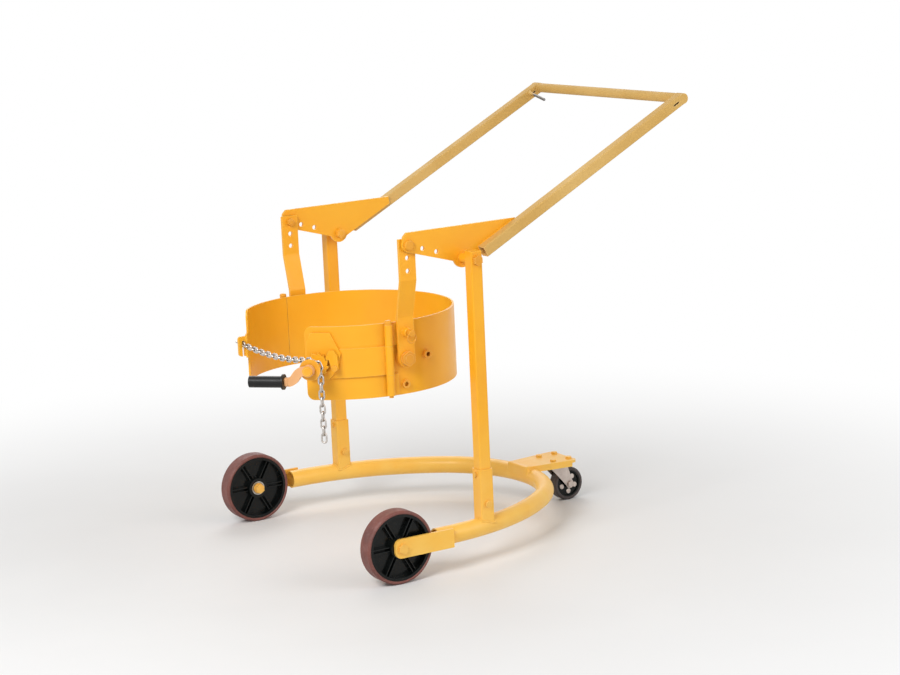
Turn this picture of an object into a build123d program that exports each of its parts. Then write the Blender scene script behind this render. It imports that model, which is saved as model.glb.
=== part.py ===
from build123d import *
from math import acos, asin, cos, degrees, radians, sin, sqrt
import os

# Drum dumper: a three-wheeled carrier that clamps a drum in a saddle, lifts it with a long
# lever and pours it by turning the saddle. Millimetres, +X forward, +Y the left side, +Z up,
# origin on the floor under the drum's axis. The saddle stands at carrying height.

# Clearances
running_fit = 0.06
side_play = 0.4
slip_fit = 0.3
bolt_clearance = 0.5
weld_seat = 0.6

# Saddle and jaws
drum_radius = 286
seat_play = 2
band_thickness = 5
band_height = 200
band_middle = 576
jaw_end_angle = 53.5
jaw_corner_radius = 20

# Jaw hinges
hinge_angle = 9.3
hinge_pin_radius = 6
knuckle_radius = 11
knuckle_standoff = 1
strap_thickness = 6
strap_height = 78
strap_end_angle = 33
hinge_seam = 1.5

# Trunnions and tilt index
trunnion_radius = 12.5
trunnion_washer = 3
trunnion_nut_height = 9
trunnion_boss_radius = 24
boss_reach = 8
index_radius = 72
index_bush_radius = 11
plunger_radius = 6
plunger_stroke = 8

# Hanger links
link_width = 50
link_thickness = 8
joggle_start = 114
joggle_end = 214
hanger_pivot_x = 0
link_length = 310
hanger_bolt_radius = 6
link_top_margin = 17
spare_hole_radius = 6.5
link_hole_pitch = 35

# Lifting lever
plate_thickness = 8
pivot_fall = 52
pivot_spacer = 36
main_bolt_radius = 8
lobe_radius = 27
nose_radius = 19
plate_hole_pitch = 44.5
plate_lap = 140
plate_joint_gap = 2
bar_side = 30
bar_wall = 2.5
bar_slope = 27.77
bar_setback = 56
bar_rise = 11
bar_length = 766
crossbar_radius = 14
crossbar_wall = 2.5
hook_radius = 4.2
hook_length = 80
hook_droop = 13
hook_setback = 39
hook_rise = 6
slot_length = 22
slot_width = 5
slot_setback = 29

# Base frame
tube_radius = 25.5
tube_wall = 3.5
tube_height = 101
track = 415
tube_front = 2
bend_start = -24
side_bend_radius = 650
rear_bend_radius = 345
upright_x = -166
upright_side = 35
upright_wall = 3
upright_margin = 24
socket_wall = 3.2
socket_top = 262
through_bolt_z = 166
clamp_screw_z = 248
through_bolt_radius = 5
clamp_screw_radius = 4

# Front wheels
wheel_radius = 100
wheel_width = 48
tread_thickness = 9
axle_x = 122
axle_radius = 8
axle_head = 7
axle_washer = 2.5
axle_nut_height = 12
axle_plate_height = 52
axle_plate_back = 38
axle_plate_nose = 22
bearing_radius = 20
bearing_width = 12
hub_radius = 29
rib_pairs = 6
rib_thickness = 2.6
rib_spread = 5

# Tongue and caster
tongue_lap = 23.5
tongue_length = 168
tongue_front_half = 48
tongue_rear_half = 68
tongue_thickness = 8
tongue_flange = 11
swivel_setback = 104.5
caster_plate_length = 80
caster_plate_width = 100
caster_plate_thickness = 5
caster_bolt_spacing_x = 55
caster_bolt_spacing_y = 75
caster_bolt_radius = 5
caster_trail = 41
caster_radius = 50
caster_width = 32
caster_tread = 10
caster_axle_radius = 5
fork_gauge = 3
fork_gap = 3
race_radius = 30
king_pin_radius = 7
rivet_radius = 8
rivet_circle = 24
rivet_count = 5

# Ratchet chain tightener
ratchet_angle = 46
ratchet_shaft_radius = 10
ratchet_radius = 34
ratchet_root = 28
ratchet_teeth = 12
ratchet_tooth_start = 24
ratchet_width = 10
pad_height = 10
pad_top = 85
pad_low = 43
pad_rear = 63
pad_front = 33
pad_corner = 5
pawl_pin_radius = 5
pawl_x = 50
pawl_y = -8
ratchet_standoff = 3
chain_plane = 62
lever_plane = 86
lever_thickness = 14
lever_width = 24
lever_eye_radius = 16
grip_radius = 15.5
grip_length = 103
grip_start = 62
grip_drop = 30

# Chain
wire = 5
link_pitch = 20
link_outer_width = 18
link_play = 0.3
chain_teeth = 4
tooth_width = 7
tooth_thickness = 3.5
wrap_start = 6
tail_links = 10
run_links = 21
run_sag = 15
run_drop = 10
claw_thickness = 8
claw_gap = 0.8

band_inner = drum_radius + seat_play
band_outer = band_inner + band_thickness
band_low = band_middle - band_height / 2
band_high = band_middle + band_height / 2
joggle_low = band_middle + joggle_start
joggle_high = band_middle + joggle_end
hanger_pivot_z = band_middle + link_length
main_pivot_z = hanger_pivot_z - pivot_fall
upright_top = main_pivot_z + upright_margin
boss_face = band_outer + boss_reach
link_inner = boss_face + side_play
link_outer = link_inner + link_thickness
side_bend_centre = track - side_bend_radius
upright_y = side_bend_centre + sqrt(side_bend_radius**2 - (bend_start - upright_x) ** 2)
upright_inner = upright_y - upright_side / 2
upright_outer = upright_y + upright_side / 2
plate_outer = upright_inner - pivot_spacer - side_play
plate_inner = plate_outer - plate_thickness
link_top_outer = plate_inner - plate_joint_gap
link_top_inner = link_top_outer - link_thickness
socket_side = upright_side + 2 * (slip_fit + socket_wall)
tube_top = tube_height + tube_radius

parts = {}


def rod(start, end, radius):
    """Round bar between two points."""
    reach = Vector(*end) - Vector(*start)
    return Solid.make_cylinder(radius, reach.length, Plane(origin=start, z_dir=reach))


def hexagon(start, direction, across, height):
    """Hexagon head or nut standing on a point."""
    flats = Plane(origin=start, z_dir=direction) * RegularPolygon(across / 2, 6, major_radius=False)
    return extrude(flats, height)


def side_plate(outline, inner_y, thickness):
    """Plate standing along the vehicle, its outline drawn in X and Z."""
    face = Plane(origin=(0, inner_y, 0), x_dir=(1, 0, 0), z_dir=(0, -1, 0)) * outline
    return extrude(face, -thickness)


def shell(inner, outer, low, high, start_angle, end_angle):
    """Stretch of an upright ring; angles count forward from the left side."""
    start = radians(90 - end_angle)
    base = Plane(origin=(0, 0, low), x_dir=(cos(start), sin(start), 0), z_dir=(0, 0, 1))
    stretch = Solid.make_cylinder(outer, high - low, base, end_angle - start_angle)
    return stretch - rod((0, 0, low), (0, 0, high), inner)


def polygon(*points):
    """Face with straight edges."""
    return make_face(Polyline(*points, close=True))


def right_side(shape):
    """Mirror image for the right side."""
    return mirror(shape, about=Plane.XZ)


def group(*shapes):
    """Separate solids kept together under one name."""
    return Compound([solid for shape in shapes for solid in shape.solids()])


def both(*shapes):
    """Left pieces with their right twins."""
    return group(*shapes, *[right_side(shape) for shape in shapes])


# Base frame: one tube bent to a U, open at its front ends.
side_turn = degrees(acos((side_bend_radius - track) / (side_bend_radius - rear_bend_radius)))
left_run = Line((tube_front, track), (bend_start, track))
left_bend = JernArc(left_run @ 1, left_run % 1, side_bend_radius, side_turn)
rear_bend = JernArc(left_bend @ 1, left_bend % 1, rear_bend_radius, 180 - 2 * side_turn)
right_bend = JernArc(rear_bend @ 1, rear_bend % 1, side_bend_radius, side_turn)
right_run = Line(right_bend @ 1, (tube_front, -track))
spine = Pos(0, 0, tube_height) * Wire([left_run, left_bend, rear_bend, right_bend, right_run])
tube_end = Plane(origin=spine @ 0, z_dir=spine % 0)
tube_outside = sweep(tube_end * Circle(tube_radius), path=spine)
tube_inside = sweep(tube_end * Circle(tube_radius - tube_wall), path=spine)
parts["base_tube"] = tube_outside - tube_inside
tube_rear = (rear_bend @ 0.5).X
tongue_front = tube_rear + tongue_lap
swivel_x = tube_rear - swivel_setback

# Axle plates: flat bar let a little into the outside of each tube end.
plate_y = track + tube_radius - weld_seat
plate_face = plate_y + plate_thickness
axle_outline = polygon(
    (-axle_plate_back, wheel_radius - axle_plate_height / 2),
    (axle_x + axle_plate_nose, wheel_radius - axle_plate_height / 2),
    (axle_x + axle_plate_nose, wheel_radius + axle_plate_height / 2),
    (-axle_plate_back, wheel_radius + axle_plate_height / 2),
)
axle_outline = fillet(axle_outline.vertices().group_by(Axis.X)[-1], axle_plate_nose - 4)
axle_plate = side_plate(axle_outline, plate_y, plate_thickness) - tube_outside
axle_plate -= rod((axle_x, plate_y, wheel_radius), (axle_x, plate_face, wheel_radius), axle_radius)
parts["left_axle_plate"] = axle_plate
parts["right_axle_plate"] = right_side(axle_plate)

# Axle bolts: head outside the plate, washer and nut inside the wheel.
wheel_inner = track - wheel_width / 2
wheel_outer = track + wheel_width / 2
washer_face = (axle_x, wheel_inner - side_play, wheel_radius)
nut_seat = (axle_x, wheel_inner - side_play - axle_washer, wheel_radius)
axle_end = (axle_x, wheel_inner - side_play - 2 * axle_radius, wheel_radius)
axle_bolt = rod(axle_end, (axle_x, plate_face, wheel_radius), axle_radius)
axle_bolt += hexagon((axle_x, plate_face, wheel_radius), (0, 1, 0), 3 * axle_radius, axle_head)
axle_nut = hexagon(nut_seat, (0, -1, 0), 3 * axle_radius, axle_nut_height)
axle_nut += rod(nut_seat, washer_face, 1.9 * axle_radius)
parts["axle_bolts"] = both(axle_bolt, axle_nut - axle_bolt)

# Sockets: square sleeves, mitred over the tube.
socket_bore = upright_side + 2 * slip_fit
sleeve = RectangleRounded(socket_side, socket_side, 5) - RectangleRounded(socket_bore, socket_bore, 3)
socket_low = tube_height + 10
socket = Pos(upright_x, upright_y, socket_low) * extrude(sleeve, socket_top - socket_low)
socket -= tube_outside
through_inner = (upright_x, upright_y - socket_side / 2, through_bolt_z)
through_outer = (upright_x, upright_y + socket_side / 2, through_bolt_z)
through_hole = rod(through_inner, through_outer, through_bolt_radius + bolt_clearance)
clamp_seat = upright_x + upright_side / 2
clamp_face = upright_x + socket_side / 2
clamp_mouth = (clamp_face, upright_y, clamp_screw_z)
clamp_screw = rod((clamp_seat, upright_y, clamp_screw_z), clamp_mouth, clamp_screw_radius)
socket -= through_hole + clamp_screw
parts["left_socket"] = socket
parts["right_socket"] = right_side(socket)

# Uprights: square tube closed at the top, standing in the sockets.
upright_bore = upright_side - 2 * upright_wall
upright_low = tube_top + 4
upright = Pos(upright_x, upright_y, upright_low) * (
    extrude(RectangleRounded(upright_side, upright_side, 4), upright_top - upright_low)
    - extrude(RectangleRounded(upright_bore, upright_bore, 1.5), upright_top - upright_low - upright_wall)
)
pivot_inner = (upright_x, upright_inner, main_pivot_z)
pivot_outer = (upright_x, upright_outer, main_pivot_z)
upright -= rod(pivot_inner, pivot_outer, main_bolt_radius)
upright -= through_hole
parts["left_upright"] = upright
parts["right_upright"] = right_side(upright)

# Socket fasteners: one bolt through socket and upright, one clamp screw from the front.
through_tip = (upright_x, upright_y - socket_side / 2 - 10, through_bolt_z)
through_bolt = rod(through_tip, through_outer, through_bolt_radius)
through_bolt += hexagon(through_outer, (0, 1, 0), 17, 7)
through_nut = hexagon(through_inner, (0, -1, 0), 17, 8) - through_bolt
clamp_screw += hexagon(clamp_mouth, (1, 0, 0), 13, 6)
parts["socket_bolts"] = both(through_bolt, through_nut, clamp_screw)

# Main pivots: bolt through the upright, spacer, lever plate, nut.
nut_face = plate_inner - side_play
pivot_bolt = rod((upright_x, nut_face - 14, main_pivot_z), pivot_outer, main_bolt_radius)
pivot_bolt += hexagon(pivot_outer, (0, 1, 0), 3 * main_bolt_radius, 10)
pivot_nut = hexagon((upright_x, nut_face, main_pivot_z), (0, -1, 0), 3 * main_bolt_radius, 13) - pivot_bolt
parts["pivot_bolts"] = both(pivot_bolt, pivot_nut)
spacer_start = (upright_x, plate_outer + side_play, main_pivot_z)
spacer = rod(spacer_start, pivot_inner, main_bolt_radius + 6)
spacer -= rod(spacer_start, pivot_inner, main_bolt_radius)
parts["pivot_spacers"] = both(spacer)

# Handle bars: square tube with a rounded nose round the crossbar's end.
bar_along = Vector(-cos(radians(bar_slope)), 0, sin(radians(bar_slope)))
bar_up = Vector(sin(radians(bar_slope)), 0, cos(radians(bar_slope)))
bar_y = plate_outer + bar_side / 2
bar_foot = Vector(upright_x - bar_setback, bar_y, main_pivot_z + bar_rise)


def on_bar(along, up=0, y=bar_y):
    """Point beside the handle bar: along it from its foot and square above its axis."""
    point = bar_foot + bar_along * along + bar_up * up
    return Vector(point.X, y, point.Z)


bar_section = RectangleRounded(bar_side, bar_side, 3)
bar_bore = RectangleRounded(bar_side - 2 * bar_wall, bar_side - 2 * bar_wall, 1)
bar_plane = Plane(origin=bar_foot, x_dir=(0, 1, 0), z_dir=bar_along)
bar = extrude(bar_plane * bar_section, bar_length)
bar += rod(on_bar(bar_length, 0, plate_outer), on_bar(bar_length, 0, plate_outer + bar_side), bar_side / 2)
bar -= extrude(bar_plane * bar_bore, bar_length - crossbar_radius)
slot_plane = Plane(origin=on_bar(bar_length - slot_setback), x_dir=bar_along, z_dir=(0, 1, 0))
bar -= extrude(slot_plane * SlotOverall(slot_length, slot_width), bar_side, both=True)
parts["left_handle_bar"] = bar
parts["right_handle_bar"] = right_side(bar)
crossbar_left = on_bar(bar_length, 0, plate_outer)
crossbar_right = on_bar(bar_length, 0, -plate_outer)
crossbar = rod(crossbar_left, crossbar_right, crossbar_radius)
parts["crossbar"] = crossbar - rod(crossbar_left, crossbar_right, crossbar_radius - crossbar_wall)

# Hook pin: round pin with a swept weld root on the right bar's inner face.
hook_root = on_bar(bar_length - hook_setback, hook_rise, -plate_outer)
hook_lean = Vector(0, cos(radians(hook_droop)), -sin(radians(hook_droop)))
hook_back = hook_root - hook_lean * 4
hook_pin = rod(hook_back, hook_root + hook_lean * hook_length, hook_radius)
hook_plane = Plane(origin=hook_back, z_dir=hook_lean)
hook_pin += Solid.make_cone(1.9 * hook_radius, hook_radius, 16, hook_plane)
hook_pin -= Pos(hook_root.X, -plate_outer - bar_side, hook_root.Z) * Box(*[2 * bar_side] * 3)
hook_pin = fillet(hook_pin.edges().group_by(Axis.Y)[-1], hook_radius / 2)
parts["hook_pin"] = hook_pin

# Lever plates: nose round the hanger bolt, lobe round the main pivot, a row of spare holes.
nose = (hanger_pivot_x, hanger_pivot_z)
lobe = (upright_x, main_pivot_z)
plate_rear = on_bar(plate_lap, bar_side / 2)
plate_heel = on_bar(plate_lap - 8, -4)
plate_foot = on_bar(8, -4)
plate_outline = polygon(
    (hanger_pivot_x + 4, hanger_pivot_z + 34),
    (hanger_pivot_x + nose_radius - 4, hanger_pivot_z + 23),
    (hanger_pivot_x + nose_radius, hanger_pivot_z),
    (hanger_pivot_x + 6, hanger_pivot_z - nose_radius + 1),
    (upright_x + 24, main_pivot_z - 8),
    (upright_x - 14, main_pivot_z - 16),
    (plate_foot.X, plate_foot.Z),
    (plate_heel.X, plate_heel.Z),
    (plate_rear.X, plate_rear.Z),
)
plate_outline += Pos(*nose) * Circle(nose_radius)
plate_outline += Pos(*lobe) * Circle(lobe_radius)
hole_row = Vector(*lobe) - Vector(*nose)
hole_step = hole_row.normalized() * plate_hole_pitch
for count in (1, 2):
    plate_outline -= Pos(*(Vector(*nose) + hole_step * count)) * Circle(spare_hole_radius)
plate_outline -= Pos(*nose) * Circle(hanger_bolt_radius)
plate_outline -= Pos(*lobe) * Circle(main_bolt_radius + running_fit)
lever_plate = side_plate(plate_outline, plate_inner, plate_thickness)
parts["left_lever_plate"] = lever_plate
parts["right_lever_plate"] = right_side(lever_plate)

# Hanger bolts: broad round head outside the lever plate, nut inside the link.
hanger_inner = link_top_inner - side_play
hanger_face = (hanger_pivot_x, plate_outer, hanger_pivot_z)
hanger_tip = (hanger_pivot_x, hanger_inner - 11, hanger_pivot_z)
hanger_top = (hanger_pivot_x, plate_outer + 8, hanger_pivot_z)
hanger_bolt = rod(hanger_tip, hanger_face, hanger_bolt_radius)
hanger_head = rod(hanger_face, hanger_top, 2.4 * hanger_bolt_radius)
hanger_bolt += fillet(hanger_head.edges().group_by(Axis.Y)[-1], 4)
hanger_nut = hexagon((hanger_pivot_x, hanger_inner, hanger_pivot_z), (0, -1, 0), 19, 10) - hanger_bolt
washer_inner = (hanger_pivot_x, link_top_outer + side_play, hanger_pivot_z)
washer_outer = (hanger_pivot_x, plate_inner, hanger_pivot_z)
hanger_washer = rod(washer_inner, washer_outer, 2.2 * hanger_bolt_radius) - hanger_bolt
parts["hanger_bolts"] = both(hanger_bolt, hanger_nut, hanger_washer)

# Hanger links: flat bar, square at the top, round at the trunnion, joggled in to the saddle.
link_top = hanger_pivot_z + link_top_margin
link_profile = polygon(
    (link_inner, band_middle - link_width),
    (link_inner, joggle_low),
    (link_top_inner, joggle_high),
    (link_top_inner, link_top),
    (link_top_outer, link_top),
    (link_top_outer, joggle_high),
    (link_outer, joggle_low),
    (link_outer, band_middle - link_width),
)
joggle_corners = [v for v in link_profile.vertices() if joggle_low - 1 < v.Y < joggle_high + 1]
link_profile = fillet(joggle_corners, 2 * link_thickness)
strip = extrude(Plane.YZ * link_profile, link_width, both=True)
link_outline = polygon(
    (-link_width / 2, band_middle),
    (link_width / 2, band_middle),
    (link_width / 2, link_top),
    (-link_width / 2, link_top),
)
link_outline = fillet(link_outline.vertices().group_by(Axis.Y)[-1], 3)
link_outline += Pos(0, band_middle) * Circle(link_width / 2)
link_outline -= Pos(0, band_middle) * Circle(trunnion_radius + running_fit)
link_outline -= Pos(*nose) * Circle(hanger_bolt_radius + running_fit)
for count in (1, 2):
    link_outline -= Pos(hanger_pivot_x, hanger_pivot_z - count * link_hole_pitch) * Circle(spare_hole_radius)
link_faces = sorted((link_inner, link_outer, link_top_inner, link_top_outer))
link = strip & side_plate(link_outline, link_faces[0] - 1, link_faces[-1] - link_faces[0] + 2)
parts["right_link"] = right_side(link)
lock_z = band_middle + index_radius
plunger_bore = rod((0, link_inner, lock_z), (0, link_outer + 30, lock_z), plunger_radius + running_fit)
parts["left_link"] = link - plunger_bore

# Tilt lock: sprung plunger in a housing on the left link, pulled by a ring. It is drawn back at rest.
housing_end = link_outer + 16
housing = rod((0, link_outer, lock_z), (0, housing_end, lock_z), 13)
housing = fillet(housing.edges().group_by(Axis.Y)[-1], 3)
parts["lock_housing"] = housing - plunger_bore
head_start = housing_end + plunger_stroke + side_play
plunger = rod((0, link_inner + side_play, lock_z), (0, head_start + 8, lock_z), plunger_radius)
knob = rod((0, head_start, lock_z), (0, head_start + 10, lock_z), 9.5)
plunger += fillet(knob.edges().group_by(Axis.Y)[-1], 2)
ring_radius = 13
ring_plane = Plane(origin=(0, head_start + 5, lock_z - ring_radius), z_dir=(0, 1, 0))
plunger -= Solid.make_torus(ring_radius, 1.8 + slip_fit, ring_plane)
parts["lock_plunger"] = plunger
parts["pull_ring"] = Solid.make_torus(ring_radius, 1.8, ring_plane)

# Saddle band: rolled strip from the left hinge round the back to the right hinge.
seam = degrees(hinge_seam / 2 / band_outer)
band = shell(band_inner, band_outer, band_low, band_high, seam - 180 - hinge_angle, hinge_angle - seam)
parts["saddle_band"] = band
band_round = rod((0, 0, band_low - 50), (0, 0, band_high + 50), band_outer)

# Trunnions: boss on the band, pin through the link, washer and nut outside.
boss = rod((0, band_inner - 20, band_middle), (0, boss_face, band_middle), trunnion_boss_radius) - band_round
parts["trunnion_bosses"] = both(boss)
trunnion_nut_face = link_outer + side_play
trunnion_nut_seat = trunnion_nut_face + trunnion_washer
trunnion_tip = trunnion_nut_seat + trunnion_nut_height + 2
trunnion = rod((0, boss_face, band_middle), (0, trunnion_tip, band_middle), trunnion_radius)
trunnion_nut = hexagon(
    (0, trunnion_nut_seat, band_middle), (0, 1, 0), 2.9 * trunnion_radius, trunnion_nut_height
)
trunnion_nut += rod(
    (0, trunnion_nut_face, band_middle), (0, trunnion_nut_seat, band_middle), 1.6 * trunnion_radius
)
parts["trunnion_pins"] = both(trunnion, trunnion_nut - trunnion)

# Index bushes: sockets for the lock plunger at upright, level and upturned drum.
bushes = []
for turn in (0, 90, 180):
    bush_x = -index_radius * sin(radians(turn))
    bush_z = band_middle + index_radius * cos(radians(turn))
    bush = rod((bush_x, band_inner - 20, bush_z), (bush_x, boss_face, bush_z), index_bush_radius) - band_round
    bush -= rod((bush_x, 0, bush_z), (bush_x, boss_face, bush_z), plunger_radius + bolt_clearance)
    bushes.append(bush)
parts["index_bushes"] = group(*bushes)

# Jaw hinges: two knuckles on the band, one on the jaw's strap, a headed pin through all three.
hinge_reach = band_outer + knuckle_standoff + knuckle_radius
hinge_x = hinge_reach * sin(radians(hinge_angle))
hinge_y = hinge_reach * cos(radians(hinge_angle))
strap_low = band_middle - strap_height / 2
strap_high = band_middle + strap_height / 2


def knuckle(low, high, start_angle, end_angle):
    """Barrel round the hinge pin with its leaf on the band."""
    leaf = shell(band_outer, band_outer + strap_thickness, low, high, start_angle, end_angle)
    return leaf + rod((hinge_x, hinge_y, low), (hinge_x, hinge_y, high), knuckle_radius)


pin_line = rod((hinge_x, hinge_y, band_low - 2), (hinge_x, hinge_y, band_high), hinge_pin_radius)
leaf_end = hinge_angle - 5
knuckles = knuckle(band_low + 4, strap_low - side_play, leaf_end, hinge_angle - seam)
knuckles += knuckle(strap_high + side_play, band_high - 4, leaf_end, hinge_angle - seam)
parts["band_knuckles"] = both(knuckles - pin_line)
pin_head = rod((hinge_x, hinge_y, band_high), (hinge_x, hinge_y, band_high + 9), hinge_pin_radius + 3.5)
pin_head = fillet(pin_head.edges().group_by(Axis.Z)[-1], 5)
pin_foot = rod((hinge_x, hinge_y, band_high - 4), (hinge_x, hinge_y, band_high), hinge_pin_radius + 3.5)
parts["hinge_pins"] = both(pin_line + pin_head + pin_foot)

# Jaws: rolled strip with rounded front corners.
jaw = shell(band_inner, band_outer, band_low, band_high, hinge_angle + seam, jaw_end_angle)
jaw_tip = [e for e in jaw.edges() if e.length < 2 * band_thickness]
jaw_tip = ShapeList(jaw_tip).sort_by(Axis.X)[-2:]
jaw = fillet(jaw_tip, jaw_corner_radius)
strap_bottom = (hinge_x, hinge_y, strap_low)
strap_top = (hinge_x, hinge_y, strap_high)
strap_bore = rod(strap_bottom, strap_top, hinge_pin_radius + running_fit)
strap = knuckle(strap_low, strap_high, hinge_angle + seam, strap_end_angle) - strap_bore
parts["left_jaw"] = jaw
parts["right_jaw"] = right_side(jaw)
parts["left_hinge_strap"] = strap
parts["right_hinge_strap"] = right_side(strap)

# Ratchet chain tightener, drawn on a plane square to the jaw: X to the hinge, Y up, Z outward.
out = Vector(sin(radians(ratchet_angle)), cos(radians(ratchet_angle)), 0)
hingeward = Vector(-cos(radians(ratchet_angle)), sin(radians(ratchet_angle)), 0)
pad_face = band_outer + pad_height
ratchet_plane = Plane(origin=out * pad_face + Vector(0, 0, band_middle), x_dir=hingeward, z_dir=out)


def on_pad(x, y, z=0):
    """Point in the tightener's own directions."""
    return ratchet_plane.from_local_coords(Vector(x, y, z))


def stud(x, y, start, end, radius):
    """Round piece standing square to the pad."""
    return rod(on_pad(x, y, start), on_pad(x, y, end), radius)


def on_plane(outline, start, thickness):
    """Flat piece lying parallel to the pad."""
    return extrude(ratchet_plane.offset(start) * outline, thickness)


pad_outline = polygon(
    (-0.55 * pad_front, pad_top),
    (0.57 * pad_rear, pad_top),
    (pad_rear, 0.33 * pad_top),
    (0.81 * pad_rear, -0.37 * pad_low),
    (0.44 * pad_rear, -pad_low),
    (-0.79 * pad_front, -pad_low),
    (-pad_front, 0),
    (-0.91 * pad_front, 0.7 * pad_top),
)
pad_outline = fillet(pad_outline.vertices(), pad_corner)
pad = extrude(ratchet_plane * pad_outline, -3 * pad_height) - band_round - strap
pad += stud(0, 0, 0, ratchet_standoff, 2 * ratchet_shaft_radius)
pad -= stud(0, 0, 0, ratchet_standoff, ratchet_shaft_radius)
pad -= stud(pawl_x, pawl_y, -8, 0, pawl_pin_radius)
parts["ratchet_pad"] = pad
lever_start = lever_plane - lever_thickness / 2
lever_end = lever_plane + lever_thickness / 2
ratchet_shaft = stud(0, 0, 0, lever_end + 6, ratchet_shaft_radius)

# Ratchet wheel: saw teeth with their steep faces towards the pawl.
teeth = []
for tooth in range(ratchet_teeth):
    tip = radians(ratchet_tooth_start + tooth * 360 / ratchet_teeth)
    foot = tip + radians(2)
    teeth.append((ratchet_radius * cos(tip), ratchet_radius * sin(tip)))
    teeth.append((ratchet_root * cos(foot), ratchet_root * sin(foot)))
ratchet_outline = polygon(*teeth) - Circle(ratchet_shaft_radius)
parts["ratchet_wheel"] = on_plane(ratchet_outline, ratchet_standoff, ratchet_width)

# Pawl: hooked strut on its own pin, its nose in a tooth gap.
pawl_outline = polygon(
    (26.3, 13.5),
    (33.6, 15.6),
    (pawl_x - 9, pawl_y),
    (pawl_x + 9, pawl_y),
    (57, 26),
    (48, 40),
    (36, 40),
    (25.1, 19.7),
)
pawl_outline += Pos(pawl_x, pawl_y) * Circle(9)
pawl_outline -= Pos(pawl_x, pawl_y) * Circle(pawl_pin_radius + running_fit)
parts["pawl"] = on_plane(pawl_outline, ratchet_standoff, ratchet_width)
ratchet_face = ratchet_standoff + ratchet_width
pawl_top = ratchet_face + side_play
pawl_pin = stud(pawl_x, pawl_y, -8, pawl_top, pawl_pin_radius)
pawl_pin += stud(pawl_x, pawl_y, pawl_top, pawl_top + 4, 8)
pawl_pin += stud(pawl_x, pawl_y, 0, ratchet_standoff - side_play, 8)
parts["pawl_pin"] = pawl_pin

# Chain wheel: hub with teeth that stand in the flat links, a shoulder under them, an outer flange.
long_step = link_pitch + wire
short_step = link_pitch - wire - 2 * link_play
pitch_turn = radians(180 / chain_teeth)
pitch_chord = sqrt(long_step**2 + short_step**2 + 2 * long_step * short_step * cos(pitch_turn))
pitch_radius = pitch_chord / (2 * sin(pitch_turn))
short_turn = 2 * degrees(asin(short_step / 2 / pitch_radius))
long_turn = 2 * degrees(asin(long_step / 2 / pitch_radius))
flat_inside = sqrt(pitch_radius**2 - long_step**2 / 4) - wire / 2
chain_half = link_outer_width / 2 + claw_gap
shoulder_start = chain_plane + wire / 2 + claw_gap
shoulder_end = chain_plane + chain_half
chain_wheel = stud(0, 0, ratchet_face, lever_start - side_play, ratchet_shaft_radius + 3.4)
chain_wheel += stud(0, 0, shoulder_start, shoulder_end, flat_inside - link_play)
chain_wheel += stud(0, 0, shoulder_end, shoulder_end + 2.5, pitch_radius + 3)
for tooth in range(chain_teeth):
    turn = wrap_start + short_turn + long_turn / 2 + tooth * 360 / chain_teeth
    tooth_outline = Rot(Z=turn) * (Pos(pitch_radius / 2, 0) * RectangleRounded(pitch_radius, tooth_width, 2))
    chain_wheel += on_plane(tooth_outline, chain_plane - tooth_thickness / 2, tooth_thickness)
chain_wheel -= stud(0, 0, 0, lever_end, ratchet_shaft_radius)
parts["chain_wheel"] = chain_wheel

# Hand lever: eye on the shaft, arm curving down to a rubber grip; a collar keeps it on.
arm_line = Spline((0, 0), (-26, -5), (-grip_start + 6, -grip_drop), tangents=((-1, 0.1), (-1, -0.1)))
arm_outline = trace(arm_line, lever_width) + Circle(lever_eye_radius)
lever = on_plane(arm_outline, lever_start, lever_thickness)
spindle_start = on_pad(-grip_start + 8, -grip_drop, lever_plane)
spindle_end = on_pad(-grip_start - grip_length + 8, -grip_drop, lever_plane)
lever += rod(spindle_start, spindle_end, 6)
lever -= stud(0, 0, lever_start, lever_end, ratchet_shaft_radius + running_fit)
parts["hand_lever"] = lever
grip_inner = on_pad(-grip_start - 6, -grip_drop, lever_plane)
grip_outer = on_pad(-grip_start - grip_length, -grip_drop, lever_plane)
grip_flange = on_pad(-grip_start - 11, -grip_drop, lever_plane)
grip = rod(grip_inner, grip_outer, grip_radius) + rod(grip_inner, grip_flange, grip_radius + 5.5)
parts["grip"] = grip - lever
collar = stud(0, 0, lever_end + side_play, lever_end + 4, ratchet_shaft_radius + 4) - ratchet_shaft
parts["ratchet_shaft"] = group(ratchet_shaft, collar)

# Chain: welded round-wire links, each standing square to the next.
bend = (link_outer_width - wire) / 2
link_line = SlotOverall(long_step, 2 * bend).wire()
link_start = Plane(origin=link_line @ 0, z_dir=link_line % 0)
chain_link = sweep(link_start * Circle(wire / 2), path=link_line)


def place_link(start, end, normal):
    """A link midway between two points, flat on the plane with that normal."""
    along = end - start
    return Plane(origin=(start + end) / 2, x_dir=along, z_dir=normal).location * chain_link


def on_wheel(turn):
    """Point on the chain wheel's pitch circle."""
    return on_pad(pitch_radius * cos(radians(turn)), pitch_radius * sin(radians(turn)), chain_plane)


wrap_low = on_wheel(wrap_start)
wrap_middle = on_wheel(wrap_start + short_turn)
wrap_top = on_wheel(wrap_start + short_turn + long_turn)
wrap_along = (wrap_top - wrap_middle).normalized()
wrap = [place_link(wrap_low, wrap_middle, out), place_link(wrap_middle, wrap_top, wrap_along.cross(out))]

# Tail: hangs straight down from the wheel on the hinge side.
tail = []
point = wrap_low
for count in range(tail_links):
    flat = count % 2 == 0
    below = point - Vector(0, 0, long_step if flat else short_step)
    tail.append(place_link(point, below, hingeward if flat else out))
    point = below

# Run: crosses the mouth with a little sag, from the wheel's top to the claw on the right jaw.
run_start = wrap_top - wrap_along * (wire + link_play)
run_reach = link_pitch + run_links * (long_step + short_step) / 2


def on_run(reach):
    """Point on the hanging run, that far across the mouth."""
    share = reach / run_reach
    fall = run_drop * share + 4 * run_sag * share * (1 - share)
    return run_start - Vector(0, reach, fall)


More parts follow.
